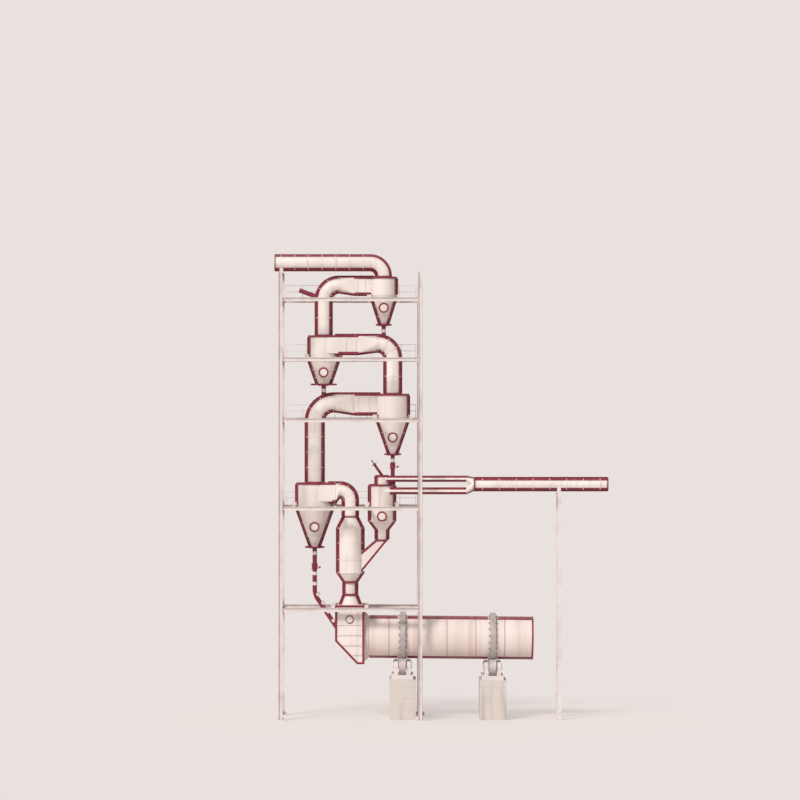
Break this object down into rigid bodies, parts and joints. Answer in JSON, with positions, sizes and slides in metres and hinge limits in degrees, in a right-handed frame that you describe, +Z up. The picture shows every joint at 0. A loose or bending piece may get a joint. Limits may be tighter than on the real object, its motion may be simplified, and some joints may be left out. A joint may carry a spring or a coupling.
{
  "type": "feed end of a rotary kiln with its suspension preheater and swirl calciner",
  "caption": "Sloping lined kiln on rollers, fed through an inlet chamber from a tower of tangential cyclones, risers, a mixing chamber and a swirl calciner.",
  "frame": {"origin": "middle of the ground under the plant, in the plane of the kiln's axis and halfway between the ends of the gas outlet duct and the tertiary air duct", "axes": "+X along the kiln towards its discharge, +Z up"},
  "size_m": [27.834, 6.6, 38.6649],
  "materials": {
    "vessel_shell": "dusty satin paint over lined steel",
    "duct_shell": "dusty satin paint over lined steel",
    "red_trim": "satin oxide red paint",
    "kiln_plate": "heat-worn oxide red paint",
    "kiln_brick": "rough refractory brick",
    "tyre_steel": "rolled and greased",
    "roller_steel": "rolled and greased",
    "pier_concrete": "cast concrete",
    "tower_steel": "satin paint"
  },
  "bodies": {
    "plant": {"burner": "red_trim", "calciner_chute": "vessel_shell", "calciner_head": "vessel_shell", "calciner_roof": "vessel_shell", "calciner_shell": "vessel_shell", "cyclone_1_roof": "vessel_shell", "cyclone_1_shell": "vessel_shell", "cyclone_2_roof": "vessel_shell", "cyclone_2_shell": "vessel_shell", "cyclone_3_roof": "vessel_shell", "cyclone_3_shell": "vessel_shell", "cyclone_4_roof": "vessel_shell", "cyclone_4_shell": "vessel_shell", "duct_trestle": "tower_steel", "feed_spout": "red_trim", "gas_out_duct": "duct_shell", "gas_out_saddle": "tower_steel", "gooseneck": "duct_shell", "inlet_duct_1": "duct_shell", "inlet_duct_2": "duct_shell", "inlet_duct_3": "duct_shell", "inlet_duct_4": "duct_shell", "kiln_inlet_chamber": "vessel_shell", "kiln_inlet_seal": "red_trim", "kiln_piers": "pier_concrete", "meal_inlet_box": "red_trim", "meal_pipe_1": "duct_shell", "meal_pipe_2": "duct_shell", "meal_pipe_3": "duct_shell", "meal_pipe_4": "duct_shell", "mixing_chamber": "vessel_shell", "riser_stage_2_to_1": "duct_shell", "riser_stage_3_to_2": "duct_shell", "riser_stage_4_to_3": "duct_shell", "roller_bases": "tower_steel", "roller_bearings": "tower_steel", "tertiary_duct": "duct_shell", "tertiary_fork": "duct_shell", "tertiary_lower_branch": "duct_shell", "tertiary_upper_branch": "duct_shell", "throat": "vessel_shell", "tower_braces": "tower_steel", "tower_columns": "tower_steel", "tower_end_beams": "tower_steel", "tower_side_beams": "tower_steel", "vessel_bearers": "tower_steel"},
    "kiln": {"kiln_shell": "kiln_plate", "kiln_lining": "kiln_brick", "kiln_tyres": "tyre_steel"},
    "roller_1": {"support_roller_1": "roller_steel"},
    "roller_2": {"support_roller_2": "roller_steel"},
    "roller_3": {"support_roller_3": "roller_steel"},
    "roller_4": {"support_roller_4": "roller_steel"}
  },
  "joints": [
    {"name": "kiln_spin", "type": "hinge", "parent": "plant", "child": "kiln", "pos_m": [-3.20019, 0, 6.77042], "axis": [1, 0, -0.01], "continuous": true},
    {"name": "roller_1_spin", "type": "hinge", "parent": "plant", "child": "roller_1", "pos_m": [-3.2234, -1.34015, 4.44933], "axis": [1, 0, -0.01], "continuous": true},
    {"name": "roller_2_spin", "type": "hinge", "parent": "plant", "child": "roller_2", "pos_m": [-3.2234, 1.34015, 4.44933], "axis": [1, 0, -0.01], "continuous": true},
    {"name": "roller_3_spin", "type": "hinge", "parent": "plant", "child": "roller_3", "pos_m": [4.27623, -1.34015, 4.37433], "axis": [1, 0, -0.01], "continuous": true},
    {"name": "roller_4_spin", "type": "hinge", "parent": "plant", "child": "roller_4", "pos_m": [4.27623, 1.34015, 4.37433], "axis": [1, 0, -0.01], "continuous": true}
  ],
  "couplings": [
    {"joint": "roller_1_spin", "follows": "kiln_spin", "ratio": -3.4667},
    {"joint": "roller_2_spin", "follows": "kiln_spin", "ratio": -3.4667},
    {"joint": "roller_3_spin", "follows": "kiln_spin", "ratio": -3.4667},
    {"joint": "roller_4_spin", "follows": "kiln_spin", "ratio": -3.4667}
  ]
}
